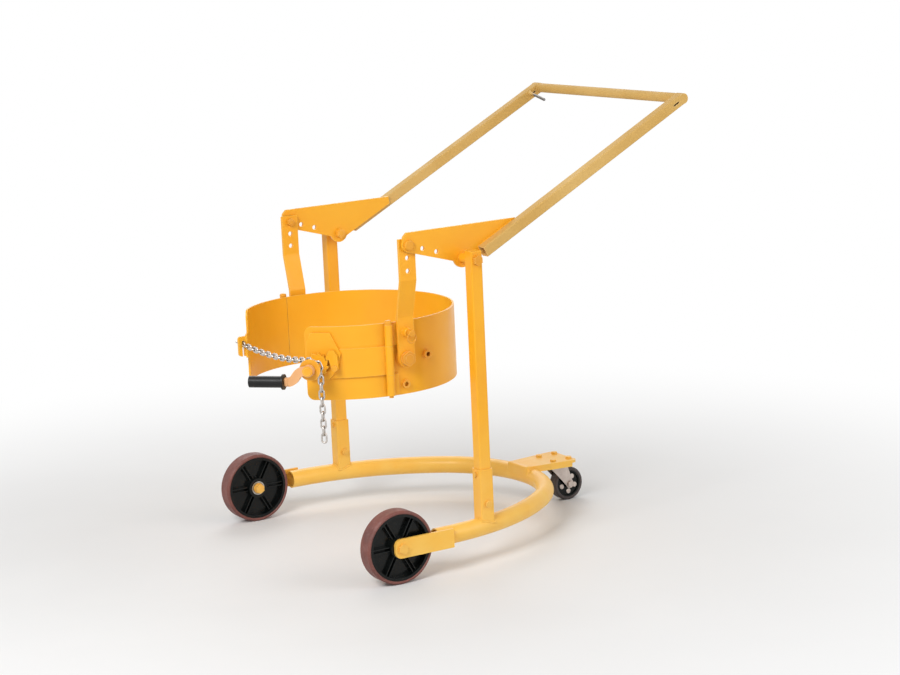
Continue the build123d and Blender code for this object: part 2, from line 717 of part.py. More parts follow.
def next_on_run(reach, step):
    """How far across the mouth a link of that length ends."""
    start = on_run(reach)
    end = reach + step
    for trial in range(6):
        end = end + step - (on_run(end) - start).length
    return end


lead_end = next_on_run(0, long_step)
lead_along = (on_run(lead_end) - run_start).normalized()
lead = [place_link(run_start, run_start + lead_along * long_step, Vector(1, 0, 0))]
reach = next_on_run(0, link_pitch - link_play)
run = []
for count in range(run_links):
    flat = count % 2 == 0
    ahead = next_on_run(reach, long_step if flat else short_step)
    start = on_run(reach)
    end = on_run(ahead)
    across = (end - start).cross(Vector(1, 0, 0)) if flat else Vector(1, 0, 0)
    placed = place_link(start, end, across)
    (run if count else lead).append(placed)
    if not flat:
        claw_point = (start + end) / 2
    reach = ahead
parts["chain_tail"] = group(*tail, *wrap, *lead)
parts["chain_run"] = group(*run)

# Claw: slotted lug on the right jaw; an upright link drops in the slot, the next bears behind it.
claw_slot = wire + 2 * claw_gap
claw_base = sqrt(band_outer**2 - claw_point.Y**2)
claw_top = claw_point.Z + link_outer_width / 2 + claw_gap
claw_outline = polygon(
    (claw_base - 30, claw_top - 44),
    (claw_point.X + 14, claw_top - 44),
    (claw_point.X + 14, claw_top + 12),
    (claw_base - 30, claw_top + 12),
)
claw_outline = fillet(claw_outline.vertices().group_by(Axis.X)[-1], 8)
claw_cut = polygon(
    (claw_point.X - claw_slot / 2, claw_top - 60),
    (claw_point.X + claw_slot / 2, claw_top - 60),
    (claw_point.X + claw_slot / 2, claw_top),
    (claw_point.X - claw_slot / 2, claw_top),
)
claw = side_plate(claw_outline - claw_cut, claw_point.Y - claw_thickness / 2, claw_thickness)
parts["chain_claw"] = claw - band_round

# Front wheels: ribbed core, moulded tread and a bearing in each side of the hub.
core_radius = wheel_radius - tread_thickness
half_width = wheel_width / 2
core_profile = polygon(
    (axle_radius + 4, -half_width),
    (hub_radius, -half_width),
    (hub_radius + 1.5, -4),
    (core_radius - 9, -3.5),
    (core_radius - 7.5, -half_width + 2),
    (core_radius, -half_width + 2),
    (core_radius, half_width - 2),
    (core_radius - 7.5, half_width - 2),
    (core_radius - 9, 3.5),
    (hub_radius + 1.5, 4),
    (hub_radius, half_width),
    (axle_radius + 4, half_width),
)
core = revolve(Plane.XZ * core_profile, Axis.Z)
rib_length = core_radius - 8 - hub_radius
rib = Pos(hub_radius + rib_length / 2, 0, 0) * Box(rib_length + 2, rib_thickness, wheel_width - 14)
for pair in range(rib_pairs):
    for side in (-1, 1):
        core += Rot(Z=pair * 360 / rib_pairs) * (Pos(0, side * rib_spread, 0) * rib)
bearing_seats = []
for side in (-1, 1):
    seat_start = (0, 0, side * (half_width - bearing_width))
    seat_end = (0, 0, side * half_width)
    core -= rod(seat_start, seat_end, bearing_radius)
    race = rod(seat_start, seat_end, bearing_radius) - rod(seat_start, seat_end, axle_radius + running_fit)
    groove_start = (0, 0, side * (half_width - 1))
    race -= rod(groove_start, seat_end, bearing_radius - 3) - rod(groove_start, seat_end, axle_radius + 4)
    bearing_seats.append(race)
tread_profile = polygon(
    (core_radius, -half_width + 2),
    (core_radius + 2, -half_width),
    (wheel_radius - 4, -half_width),
    (wheel_radius, -half_width + 5),
    (wheel_radius, half_width - 5),
    (wheel_radius - 4, half_width),
    (core_radius + 2, half_width),
    (core_radius, half_width - 2),
)
tread = revolve(Plane.XZ * tread_profile, Axis.Z)
at_axle = Pos(axle_x, track, wheel_radius) * Rot(X=-90)
parts["left_wheel_core"] = at_axle * core
parts["left_wheel_tread"] = at_axle * tread
parts["left_wheel_bearings"] = group(*[at_axle * race for race in bearing_seats])
for name in ("core", "tread", "bearings"):
    parts[f"right_wheel_{name}"] = right_side(parts[f"left_wheel_{name}"])

# Tongue: plate welded on top of the tube at the rear, its sides turned down.
tongue_low = tube_top - weld_seat
tongue_rear = tongue_front - tongue_length
tongue_outline = polygon(
    (tongue_front, -tongue_front_half),
    (tongue_front, tongue_front_half),
    (tongue_rear, tongue_rear_half),
    (tongue_rear, -tongue_rear_half),
)
tongue_outline = fillet(tongue_outline.vertices().group_by(Axis.X)[0], 14)
tongue = Pos(0, 0, tongue_low) * extrude(tongue_outline, tongue_thickness)
flange_outline = polygon(
    (tongue_front, tongue_front_half - 5),
    (tongue_front, tongue_front_half),
    (tongue_rear + 18, tongue_rear_half - 2.2),
    (tongue_rear + 18, tongue_rear_half - 7.2),
)
flange = Pos(0, 0, tongue_low - tongue_flange) * extrude(flange_outline, tongue_flange + 1)
tongue += flange
tongue += right_side(flange)
tongue -= tube_outside
caster_holes = [
    (swivel_x + x * caster_bolt_spacing_x / 2, y * caster_bolt_spacing_y / 2)
    for x in (-1, 1)
    for y in (-1, 1)
]
tongue_top = tongue_low + tongue_thickness
for hole in caster_holes:
    tongue -= rod((*hole, tongue_low), (*hole, tongue_top), caster_bolt_radius)
parts["tongue_plate"] = tongue

# Caster mount: plate under the tongue with the fixed race and the king pin.
mount_low = tongue_low - caster_plate_thickness
mount = Pos(swivel_x, 0, mount_low) * extrude(
    RectangleRounded(caster_plate_length, caster_plate_width, 8), caster_plate_thickness
)
for hole in caster_holes:
    mount -= rod((*hole, mount_low), (*hole, tongue_low), caster_bolt_radius)
race_low = mount_low - 8
race_profile = polygon(
    (king_pin_radius, race_low),
    (race_radius - 3, race_low),
    (race_radius, race_low + 3),
    (race_radius, mount_low),
    (king_pin_radius, mount_low),
)
mount += Pos(swivel_x, 0, 0) * revolve(Plane.XZ * race_profile, Axis.Z)
parts["caster_mount"] = mount
bolts = []
for hole in caster_holes:
    bolt = rod((*hole, mount_low - 9), (*hole, tongue_top), caster_bolt_radius)
    bolt += hexagon((*hole, tongue_top), (0, 0, 1), 17, 6)
    bolts.append(bolt)
    bolts.append(hexagon((*hole, mount_low), (0, 0, -1), 17, 8) - bolt)
parts["caster_bolts"] = group(*bolts)

# Caster fork: crown under the race, two tapering legs down to the trailing axle.
crown_top = race_low - side_play
crown_low = crown_top - 2 * fork_gauge
leg_inner = caster_width / 2 + fork_gap
leg_outer = leg_inner + fork_gauge
caster_x = swivel_x - caster_trail
leg_outline = polygon(
    (swivel_x + 24, crown_top),
    (swivel_x - 32, crown_top),
    (caster_x - 12, caster_radius),
    (caster_x + 11, caster_radius - 5),
    (swivel_x + 24, crown_low),
)
leg_outline += Pos(caster_x, caster_radius) * Circle(13)
leg_outline -= Pos(caster_x, caster_radius) * Circle(caster_axle_radius)
leg = side_plate(leg_outline, leg_inner, fork_gauge)
crown = Pos(swivel_x, 0, crown_low) * extrude(Circle(race_radius + 4), 2 * fork_gauge)
crown += Pos(swivel_x - 4, 0, (crown_low + crown_top) / 2) * Box(56, 2 * leg_outer, 2 * fork_gauge)
fork = crown + leg + right_side(leg)
fork -= rod((swivel_x, 0, crown_low), (swivel_x, 0, crown_top), king_pin_radius + running_fit)
parts["caster_fork"] = fork
king_pin = rod((swivel_x, 0, crown_low - side_play), (swivel_x, 0, mount_low), king_pin_radius)
king_head_top = crown_low - side_play
king_pin += rod((swivel_x, 0, king_head_top - 5), (swivel_x, 0, king_head_top), king_pin_radius + 5)
parts["king_pin"] = king_pin

# Caster axle: bolt and nut through both legs.
axle_left = (caster_x, leg_outer, caster_radius)
axle_right = (caster_x, -leg_outer, caster_radius)
caster_axle = rod((caster_x, -leg_outer - 9, caster_radius), axle_left, caster_axle_radius)
caster_axle += hexagon(axle_left, (0, 1, 0), 17, 6)
parts["caster_axle"] = group(caster_axle, hexagon(axle_right, (0, -1, 0), 17, 8) - caster_axle)

# Caster wheel: dished core, rivets through both faces, solid tread.
caster_half = caster_width / 2
caster_core_radius = caster_radius - caster_tread
hub_half = leg_inner - side_play
caster_profile = polygon(
    (caster_axle_radius + running_fit, -hub_half),
    (11, -hub_half),
    (13, -10),
    (caster_core_radius - 6, -10),
    (caster_core_radius - 4, -caster_half + 1),
    (caster_core_radius, -caster_half + 1),
    (caster_core_radius, caster_half - 1),
    (caster_core_radius - 4, caster_half - 1),
    (caster_core_radius - 6, 10),
    (13, 10),
    (11, hub_half),
    (caster_axle_radius + running_fit, hub_half),
)
caster_core = revolve(Plane.XZ * caster_profile, Axis.Z)
rivets = []
at_caster = Pos(caster_x, 0, caster_radius) * Rot(X=-90)
for count in range(rivet_count):
    turn = radians(90 + count * 360 / rivet_count)
    place = (rivet_circle * cos(turn), rivet_circle * sin(turn))
    shank = rod((*place, -10), (*place, 10), rivet_radius / 2)
    caster_core -= shank
    rivet = shank
    for side in (-1, 1):
        head = rod((*place, side * 10), (*place, side * 13), rivet_radius)
        rivet += fillet(head.edges().group_by(Axis.Z)[-1 if side > 0 else 0], 2)
    rivets.append(at_caster * rivet)
parts["caster_core"] = at_caster * caster_core
parts["caster_rivets"] = group(*rivets)
caster_tread_profile = polygon(
    (caster_core_radius, -caster_half + 1),
    (caster_core_radius + 1, -caster_half),
    (caster_radius - 4, -caster_half),
    (caster_radius, -caster_half + 4),
    (caster_radius, caster_half - 4),
    (caster_radius - 4, caster_half),
    (caster_core_radius + 1, caster_half),
    (caster_core_radius, caster_half - 1),
)
parts["caster_tread"] = at_caster * revolve(Plane.XZ * caster_tread_profile, Axis.Z)

os.makedirs("parts", exist_ok=True)
for name, shape in parts.items():
    export_step(shape, f"parts/{name}.step")
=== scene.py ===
import math

import bmesh
import bpy
from mathutils import Matrix, Vector
from mathutils.geometry import interpolate_bezier


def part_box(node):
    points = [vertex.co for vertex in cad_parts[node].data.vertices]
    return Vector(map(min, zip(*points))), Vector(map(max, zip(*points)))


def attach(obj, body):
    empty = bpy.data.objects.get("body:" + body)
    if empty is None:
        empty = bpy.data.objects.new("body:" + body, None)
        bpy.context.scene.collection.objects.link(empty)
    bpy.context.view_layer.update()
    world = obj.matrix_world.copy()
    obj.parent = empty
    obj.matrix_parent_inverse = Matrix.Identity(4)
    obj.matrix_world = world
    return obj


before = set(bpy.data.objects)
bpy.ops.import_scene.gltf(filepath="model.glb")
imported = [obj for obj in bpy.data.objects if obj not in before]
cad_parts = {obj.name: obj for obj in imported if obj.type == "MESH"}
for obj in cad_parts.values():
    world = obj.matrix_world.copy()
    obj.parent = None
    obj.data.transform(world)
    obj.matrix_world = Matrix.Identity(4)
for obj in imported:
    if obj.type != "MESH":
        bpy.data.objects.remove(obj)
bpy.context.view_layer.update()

# Base tube: one steel tube bent to a U, open at its front ends, with flat axle plates and two
# square sockets welded to it. The whole weldment is sprayed golden yellow, thick and softly
# glossy, with a painted highlight in a paler tone along the edges.
mm = 0.001


def node(tree, kind, **sockets):
    """A shader node with its sockets set by name."""
    made = tree.nodes.new(kind)
    for word, value in sockets.items():
        made.inputs[word.replace("_", " ")].default_value = value
    return made


def new_finish(name):
    """An empty finish with its surface shader and the piece's own coordinates."""
    finish = bpy.data.materials.new(name)
    finish.use_nodes = True
    tree = finish.node_tree
    place = tree.nodes.new("ShaderNodeTexCoord").outputs["Object"]
    return finish, tree, tree.nodes["Principled BSDF"], place


def cloud(tree, place, scale, detail=3.0):
    """Soft blotches, so many to the metre."""
    made = node(tree, "ShaderNodeTexNoise", Scale=scale, Detail=detail, Roughness=0.55)
    tree.links.new(place, made.inputs["Vector"])
    return made.outputs["Fac"]


def spread(tree, value, low, high, out_low=0.0, out_high=1.0):
    """Stretches a value between two limits."""
    made = node(tree, "ShaderNodeMapRange", From_Min=low, From_Max=high, To_Min=out_low, To_Max=out_high)
    tree.links.new(value, made.inputs["Value"])
    return made.outputs["Result"]


def tint(tree, share, under, over):
    """Lays one colour over another by a share; either may be a colour or a node's output."""
    made = tree.nodes.new("ShaderNodeMix")
    made.data_type = "RGBA"
    tree.links.new(share, made.inputs["Factor"])
    # Sockets 6 and 7 of this node take the colours, and output 2 gives the mixed colour.
    for socket, colour in ((made.inputs[6], under), (made.inputs[7], over)):
        if isinstance(colour, tuple):
            socket.default_value = (*colour, 1)
        else:
            tree.links.new(colour, socket)
    return made.outputs[2]


def times(tree, first, second):
    """Product of two values."""
    made = tree.nodes.new("ShaderNodeMath")
    made.operation = "MULTIPLY"
    tree.links.new(first, made.inputs[0])
    tree.links.new(second, made.inputs[1])
    return made.outputs[0]


def edges(tree, reach):
    """Share that rises along the edges of a piece."""
    rounded = node(tree, "ShaderNodeBevel", Radius=reach)
    rounded.samples = 6
    flat = tree.nodes.new("ShaderNodeNewGeometry")
    agree = tree.nodes.new("ShaderNodeVectorMath")
    agree.operation = "DOT_PRODUCT"
    tree.links.new(rounded.outputs["Normal"], agree.inputs[0])
    tree.links.new(flat.outputs["Normal"], agree.inputs[1])
    return spread(tree, agree.outputs["Value"], 0.995, 0.86)


def painted_corner_shade(tree, reach):
    """Share that rises in corners where pieces meet, for painted shade."""
    corner = node(tree, "ShaderNodeAmbientOcclusion", Distance=reach)
    corner.samples = 8
    return spread(tree, corner.outputs["AO"], 0.75, 0.25)


def relief(tree, surface, height, depth, strength):
    """Fine unevenness of a surface."""
    bump = node(tree, "ShaderNodeBump", Strength=strength, Distance=depth)
    tree.links.new(height, bump.inputs["Height"])
    tree.links.new(bump.outputs["Normal"], surface.inputs["Normal"])


def floor_dust(tree, place):
    """Share of dust, thickest on the pieces near the floor."""
    split = tree.nodes.new("ShaderNodeSeparateXYZ")
    tree.links.new(place, split.inputs[0])
    low = spread(tree, split.outputs["Z"], 0.42, 0.05)
    return times(tree, low, spread(tree, cloud(tree, place, 12.0, 5.0), 0.3, 0.7, 0.5, 0.9))


def sprayed_paint(name, colour, deep, highlight_tone, rough_low=0.30, rough_high=0.48, gloss=0.30, clear=0.08):
    """Sprayed paint: slow shifts of tone, a painted highlight along the edges, dust low down, painted
    shade in corners.
    """
    finish, tree, surface, place = new_finish(name)
    tone = spread(tree, cloud(tree, place, 5.0), 0.35, 0.7)
    body = tint(tree, tone, colour, deep)
    body = tint(tree, floor_dust(tree, place), body, (0.94, 0.62, 0.15))
    # Painted highlight: a paler tone laid along the edges, broken up in patches.
    wear_and_edge_highlight = times(tree, edges(tree, 2.2 * mm), spread(tree, cloud(tree, place, 40.0), 0.3, 0.6))
    body = tint(tree, wear_and_edge_highlight, body, highlight_tone)
    # Painted shade: a dark brown tone laid in the corners where pieces meet, broken up in patches.
    painted_shade = times(tree, painted_corner_shade(tree, 14 * mm), spread(tree, cloud(tree, place, 70.0), 0.35, 0.75, 0.1, 0.6))
    body = tint(tree, painted_shade, body, (0.30, 0.13, 0.02))
    tree.links.new(body, surface.inputs["Base Color"])
    smear = spread(tree, cloud(tree, place, 22.0, 5.0), 0.3, 0.75, rough_low, rough_high)
    tree.links.new(smear, surface.inputs["Roughness"])
    surface.inputs["Specular IOR Level"].default_value = gloss
    surface.inputs["Coat Weight"].default_value = clear
    surface.inputs["Coat Roughness"].default_value = 0.16
    relief(tree, surface, cloud(tree, place, 220.0, 0.0), 0.10 * mm, 0.06)
    return finish


yellow_paint = sprayed_paint("yellow_paint", (0.94, 0.45, 0.020), (0.90, 0.39, 0.015), (0.98, 0.64, 0.12))


def coat(finish, *names):
    """Gives a finish to pieces."""
    for name in names:
        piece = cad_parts[name]
        piece.data.materials.clear()
        piece.data.materials.append(finish)


def break_edges(width, *names):
    """Small rounding on the sharp edges of pieces."""
    for name in names:
        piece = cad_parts[name]
        rounding = piece.modifiers.new("broken_edges", "BEVEL")
        rounding.width = width
        rounding.segments = 2
        rounding.limit_method = "ANGLE"
        rounding.angle_limit = math.radians(40)
        rounding.harden_normals = True
        rounding.use_clamp_overlap = True


coat(yellow_paint, "base_tube", "left_axle_plate", "right_axle_plate", "left_socket", "right_socket")
break_edges(0.9 * mm, "left_axle_plate", "right_axle_plate")


def skin(mesh, rings, closed=False):
    """Faces between neighbouring rings of corners, with the two ends capped unless the rings close up."""
    pairs = list(zip(rings, rings[1:]))
    if closed:
        pairs.append((rings[-1], rings[0]))
    for first, second in pairs:
        for corner in range(len(first)):
            after = (corner + 1) % len(first)
            mesh.faces.new((first[corner], first[after], second[after], second[corner]))
    if not closed:
        mesh.faces.new(rings[0])
        mesh.faces.new(rings[-1])
    bmesh.ops.recalc_face_normals(mesh, faces=mesh.faces)


def mesh_piece(name, mesh, finish, body):
    """Puts a finished mesh on the object as a piece that rides on a body."""
    data = bpy.data.meshes.new(name)
    mesh.to_mesh(data)
    mesh.free()
    data.shade_smooth()
    data.materials.append(finish)
    piece = bpy.data.objects.new(name, data)
    bpy.context.scene.collection.objects.link(piece)
    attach(piece, body)
    return piece


def turns(count):
    """Even turns round a full circle."""
    return [2 * math.pi * index / count for index in range(count)]


def even_path(points, step, closed):
    """Points at even steps along a line of points."""
    line = [Vector(point) for point in points]
    if closed:
        line.append(line[0].copy())
    length = sum((b - a).length for a, b in zip(line, line[1:]))
    count = max(3, round(length / step))
    wanted = [length * i / count for i in range(count + (0 if closed else 1))]
    laid = []
    passed = 0.0
    index = 0
    for reach in wanted:
        while index < len(line) - 2 and passed + (line[index + 1] - line[index]).length < reach:
            passed += (line[index + 1] - line[index]).length
            index += 1
        run = line[index + 1] - line[index]
        share = (reach - passed) / run.length if run.length else 0.0
        laid.append(line[index] + run * min(1.0, share))
    return laid


def lay_bead(mesh, points, radius, closed):
    """Weld bead: overlapping puddles laid along a line, each with a steep front."""
    step = 1.1 * mm
    puddle = 3
    sides = 8
    path = even_path(points, step, closed)
    last = len(path) - 1
    rings = []
    side = None
    for index, point in enumerate(path):
        ahead = path[(index + 1) % len(path)] if closed else path[min(index + 1, last)]
        behind = path[index - 1] if closed or index else path[0]
        along = (ahead - behind).normalized()
        if side is None:
            side = along.orthogonal()
        side = (side - along * side.dot(along)).normalized()
        up = along.cross(side)
        swell = 0.80 + 0.20 * (index % puddle) / (puddle - 1)
        swell *= 1 + 0.06 * math.sin(index * 0.37)
        if not closed:
            swell *= min(1.0, 0.35 + 0.25 * min(index, last - index))
        ring = []
        for turn in turns(sides):
            offset = (side * math.cos(turn) + up * math.sin(turn)) * (radius * swell)
            ring.append(mesh.verts.new(point + offset))
        rings.append(ring)
    skin(mesh, rings, closed)


def bead_piece(name, lines, radius, body, finish=yellow_paint):
    """One welding job: every bead of a joint, painted over with the pieces that it joins."""
    mesh = bmesh.new()
    for points, closed in lines:
        lay_bead(mesh, points, radius, closed)
    return mesh_piece(name, mesh, finish, body)


def on_both_sides(lines):
    """Lines on the left side and their mirror images on the right."""
    mirrored = [([(x, -y, z) for x, y, z in points], closed) for points, closed in lines]
    return lines + mirrored


tube_radius = 25.5 * mm
tube_height = 101 * mm
plate_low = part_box("left_axle_plate")[0]
plate_back = plate_low.x + 1 * mm
tube_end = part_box("base_tube")[1].x - 1 * mm
plate_inner = plate_low.y - 1.0 * mm
bead_rise = 11 * mm
axle_plate_beads = []
for height in (tube_height - bead_rise, tube_height + bead_rise):
    axle_plate_beads.append(([(plate_back, plate_inner, height), (tube_end, plate_inner, height)], False))
bead_piece("axle_plate_welds", on_both_sides(axle_plate_beads), 2.6 * mm, "frame")

socket_low, socket_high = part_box("left_socket")
socket_half = (socket_high.x - socket_low.x) / 2
socket_middle = (socket_low + socket_high) / 2
side_bend_radius = 650 * mm
side_bend_centre = Vector((-24 * mm, 415 * mm - side_bend_radius))


def tube_top_at(x, y):
    """Height of the bent tube's upper surface under a point."""
    off_axis = (Vector((x, y)) - side_bend_centre).length - side_bend_radius
    return tube_height + math.sqrt(max(0.0, tube_radius**2 - off_axis**2))


foot_half = socket_half + 0.6 * mm
foot_low = socket_low.z + 1 * mm
foot_steps = 12
square = ((1, 1), (-1, 1), (-1, -1), (1, -1))
socket_foot = []
for corner, (x, y) in enumerate(square):
    next_x, next_y = square[(corner + 1) % 4]
    for count in range(foot_steps):
        foot_x = socket_middle.x + foot_half * (x + (next_x - x) * count / foot_steps)
        foot_y = socket_middle.y + foot_half * (y + (next_y - y) * count / foot_steps)
        socket_foot.append((foot_x, foot_y, max(tube_top_at(foot_x, foot_y), foot_low)))
bead_piece("socket_welds", on_both_sides([(socket_foot, True)]), 2.8 * mm, "frame")

# Uprights: square steel tube standing in the sockets, held by a through bolt and a clamp screw,
# all painted over with the frame. The main pivot bolts carry the lever beside each upright.
coat(yellow_paint, "left_upright", "right_upright", "pivot_spacers")
bolt_paint = sprayed_paint("bolt_paint", (0.90, 0.42, 0.03), (0.74, 0.30, 0.02), (0.98, 0.62, 0.18))
coat(bolt_paint, "socket_bolts", "pivot_bolts")
break_edges(0.8 * mm, "socket_bolts", "pivot_bolts")

# Lifting lever: two flame-cut plates, each welded to a square handle bar, with a round crossbar
# between the bars' far ends. The paint of the bars is dulled by hands, and a short hook pin, bare
# towards its tip, stands on the right bar.
dull_yellow = (0.70, 0.45, 0.15)
handled_paint = sprayed_paint(
    "handled_paint",
    dull_yellow,
    deep=(0.62, 0.37, 0.10),
    highlight_tone=(0.98, 0.76, 0.40),
    rough_low=0.55,
    rough_high=0.70,
    gloss=0.16,
    clear=0.0,
)
coat(handled_paint, "left_handle_bar", "right_handle_bar", "crossbar")
coat(yellow_paint, "left_lever_plate", "right_lever_plate")
coat(bolt_paint, "hanger_bolts")
break_edges(0.9 * mm, "left_lever_plate", "right_lever_plate")

bar_slope = math.radians(27.77)
bar_along = Vector((-math.cos(bar_slope), 0, math.sin(bar_slope)))
bar_up = Vector((math.sin(bar_slope), 0, math.cos(bar_slope)))
bar_half = 15 * mm
bar_length = 766 * mm
bar_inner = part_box("left_handle_bar")[0].y
crossbar_low, crossbar_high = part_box("crossbar")
bar_foot = (crossbar_low + crossbar_high) / 2 - bar_along * bar_length


def on_bar(along, up):
    """Point on the left bar's inner face: along it from its foot and square above its axis."""
    point = bar_foot + bar_along * along + bar_up * up
    return (point.x, bar_inner, point.z)


seam_low = -4 * mm
seam_end = 128 * mm
plate_tip = [on_bar(131 * mm, seam_low), on_bar(139 * mm, 13 * mm)]
lever_beads = [
    ([on_bar(0, seam_low), on_bar(0, bar_half)], False),
    ([on_bar(2 * mm, bar_half), on_bar(seam_end, bar_half)], False),
    ([on_bar(8 * mm, seam_low)] + plate_tip, False),
]
bead_piece("lever_welds", on_both_sides(lever_beads), 2.3 * mm, "lever")
crossbar_reach = 13.4 * mm
crossbar_ring = []
for turn in turns(48):
    along = bar_length + crossbar_reach * math.cos(turn)
    crossbar_ring.append(on_bar(along, crossbar_reach * math.sin(turn)))
bead_piece("crossbar_welds", on_both_sides([(crossbar_ring, True)]), 1.5 * mm, "lever", handled_paint)


def half_painted_pin(name):
    """Bare pin whose welded root is sprayed with the frame, the paint fading out along the shank."""
    finish, tree, surface, place = new_finish(name)
    across = tree.nodes.new("ShaderNodeSeparateXYZ")
    tree.links.new(place, across.inputs[0])
    root_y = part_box("hook_pin")[0].y
    bare = spread(tree, across.outputs["Y"], root_y + 14 * mm, root_y + 28 * mm)
    tone = spread(tree, cloud(tree, place, 200.0), 0.3, 0.7)
    steel = tint(tree, tone, (0.24, 0.23, 0.22), (0.15, 0.145, 0.14))
    tree.links.new(tint(tree, bare, dull_yellow, steel), surface.inputs["Base Color"])
    tree.links.new(bare, surface.inputs["Metallic"])
    rough = spread(tree, cloud(tree, place, 260.0, 4.0), 0.3, 0.7, 0.28, 0.44)
    tree.links.new(rough, surface.inputs["Roughness"])
    return finish


coat(half_painted_pin("half_painted_pin"), "hook_pin")

# Hanger links: flat steel bar with a joggle, one each side, hung from the lever plates. The left
# one carries the tilt lock: a welded housing, a turned plunger and a wire pull ring, painted over.
coat(yellow_paint, "left_link", "right_link", "lock_housing")
coat(bolt_paint, "lock_plunger", "pull_ring")
break_edges(0.9 * mm, "left_link", "right_link")
housing_low, housing_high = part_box("lock_housing")
housing_middle = (housing_low + housing_high) / 2
housing_radius = 13.3 * mm
housing_ring = []
for turn in turns(40):
    ring_x = housing_middle.x + housing_radius * math.cos(turn)
    ring_z = housing_middle.z + housing_radius * math.sin(turn)
    housing_ring.append((ring_x, housing_low.y, ring_z))
bead_piece("housing_weld", [(housing_ring, True)], 1.7 * mm, "hanger")

# Saddle: a half round of rolled steel band, open at the front, with trunnion bosses, index bushes
# and hinge knuckles welded on its outside and turned pins through them, all painted over.
coat(yellow_paint, "saddle_band", "trunnion_bosses", "band_knuckles")
coat(bolt_paint, "index_bushes", "trunnion_pins", "hinge_pins")
break_edges(0.8 * mm, "saddle_band")
band_outer = 293 * mm
band_middle = 576 * mm


def ring_on_band(x, z, radius, count=40):
    """Circle drawn on the band's left side round a point seen from the side."""
    ring = []
    for turn in turns(count):
        ring_x = x + radius * math.cos(turn)
        ring.append((ring_x, math.sqrt(band_outer**2 - ring_x**2), z + radius * math.sin(turn)))
    return ring


boss_radius = 24 * mm
boss_ring = [(ring_on_band(0, band_middle, boss_radius), True)]
bead_piece("boss_welds", on_both_sides(boss_ring), 2.4 * mm, "saddle")
index_radius = 72 * mm
bush_radius = 11 * mm
bush_rings = []
for turn in (0, 90, 180):
    bush_x = -index_radius * math.sin(math.radians(turn))
    bush_z = band_middle + index_radius * math.cos(math.radians(turn))
    bush_rings.append((ring_on_band(bush_x, bush_z, bush_radius, 28), True))
bead_piece("bush_welds", bush_rings, 1.6 * mm, "saddle")


def on_round(angle, z, reach=band_outer):
    """Point on the saddle's outside; the angle counts forward from the left side."""
    turn = math.radians(angle)
    return (reach * math.sin(turn), reach * math.cos(turn), z)


leaf_angle = 4.3
knuckle_spans = ((482 * mm, 534 * mm), (618 * mm, 670 * mm))
knuckle_beads = []
for low, high in knuckle_spans:
    knuckle_beads.append(([on_round(leaf_angle, low), on_round(leaf_angle, high)], False))
bead_piece("knuckle_welds", on_both_sides(knuckle_beads), 2.2 * mm, "saddle")

# Jaws: two rolled strips hinged to the band, each with a strap welded round its hinge end. On the
# right one a tab is welded to the strip's end, and a slotted claw for the chain stands on the tab.
coat(yellow_paint, "left_jaw", "right_jaw", "left_hinge_strap", "right_hinge_strap", "chain_claw")
break_edges(0.8 * mm, "left_jaw", "right_jaw", "left_hinge_strap", "right_hinge_strap", "chain_claw")


def rolled_strip(name, body, side, stations):
    """Flat bar bent to the round: at each angle its lower and upper edge, inner and outer face."""
    mesh = bmesh.new()
    rows = []
    for angle, low, high, inner, outer in stations:
        row = []
        for height, reach in ((low, inner), (low, outer), (high, outer), (high, inner)):
            x, y, z = on_round(angle, height, reach)
            row.append(mesh.verts.new((x, side * y, z)))
        rows.append(row)
    skin(mesh, rows)
    piece = mesh_piece(name, mesh, yellow_paint, body)
    piece.data.set_sharp_from_angle(angle=math.radians(40))


strap_start = 31.5
strap_end = 42
strap_steps = 18
strap_skin = 0.05 * mm
strap_half = 39 * mm
strap_low = band_middle - strap_half
strap_high = band_middle + strap_half
strap_inner = band_outer - 0.4 * mm
strap_outer = band_outer + 6 * mm
strap_edges = (strap_low - strap_skin, strap_high + strap_skin)
sunk = 0.3 * mm
strap_rest = [(strap_start - 0.7, strap_low + sunk, strap_high - sunk, strap_inner, strap_outer - sunk)]
for count in range(strap_steps + 1):
    angle = strap_start + (strap_end - strap_start) * count / strap_steps
    strap_rest.append((angle, *strap_edges, strap_inner, strap_outer + strap_skin))
rolled_strip("left_strap_rest", "near_jaw", 1, strap_rest)
rolled_strip("right_strap_rest", "far_jaw", -1, strap_rest)
bead_start = 14
bead_steps = 12
bead_step = (strap_end - bead_start) / bead_steps
bead_angles = [bead_start + bead_step * count for count in range(bead_steps + 1)]
strap_bead = [on_round(angle, strap_high) for angle in bead_angles]
for count in range(7):
    strap_bead.append(on_round(strap_end, strap_high - 2 * strap_half * count / 6))
strap_bead += [on_round(angle, strap_low) for angle in reversed(bead_angles)]
left_strap, right_strap = on_both_sides([(strap_bead, False)])
bead_piece("left_strap_weld", [left_strap], 2.4 * mm, "near_jaw")
bead_piece("right_strap_weld", [right_strap], 2.4 * mm, "far_jaw")

jaw_end = 53.5
jaw_inner = band_outer - 5 * mm
claw_low, claw_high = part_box("chain_claw")
tab_start = jaw_end - 1
tab_end = 60.4
tab_steps = 12
tab_margin = 4.5 * mm
tab_low = claw_low.z - tab_margin
tab_high = claw_high.z + tab_margin
tab_shape = []
for count in range(tab_steps + 1):
    angle = tab_start + (tab_end - tab_start) * count / tab_steps
    tab_shape.append((angle, tab_low, tab_high, jaw_inner + strap_skin, band_outer - strap_skin))
rolled_strip("claw_tab", "far_jaw", -1, tab_shape)
claw_beads = []
for claw_y in (claw_low.y, claw_high.y):
    claw_x = math.sqrt(band_outer**2 - claw_y**2)
    claw_beads.append(([(claw_x, claw_y, claw_low.z), (claw_x, claw_y, claw_high.z)], False))
tab_seam = [on_round(jaw_end, tab_low), on_round(jaw_end, tab_high)]
claw_beads.append(([(x, -y, z) for x, y, z in tab_seam], False))
bead_piece("claw_welds", claw_beads, 2.0 * mm, "far_jaw")

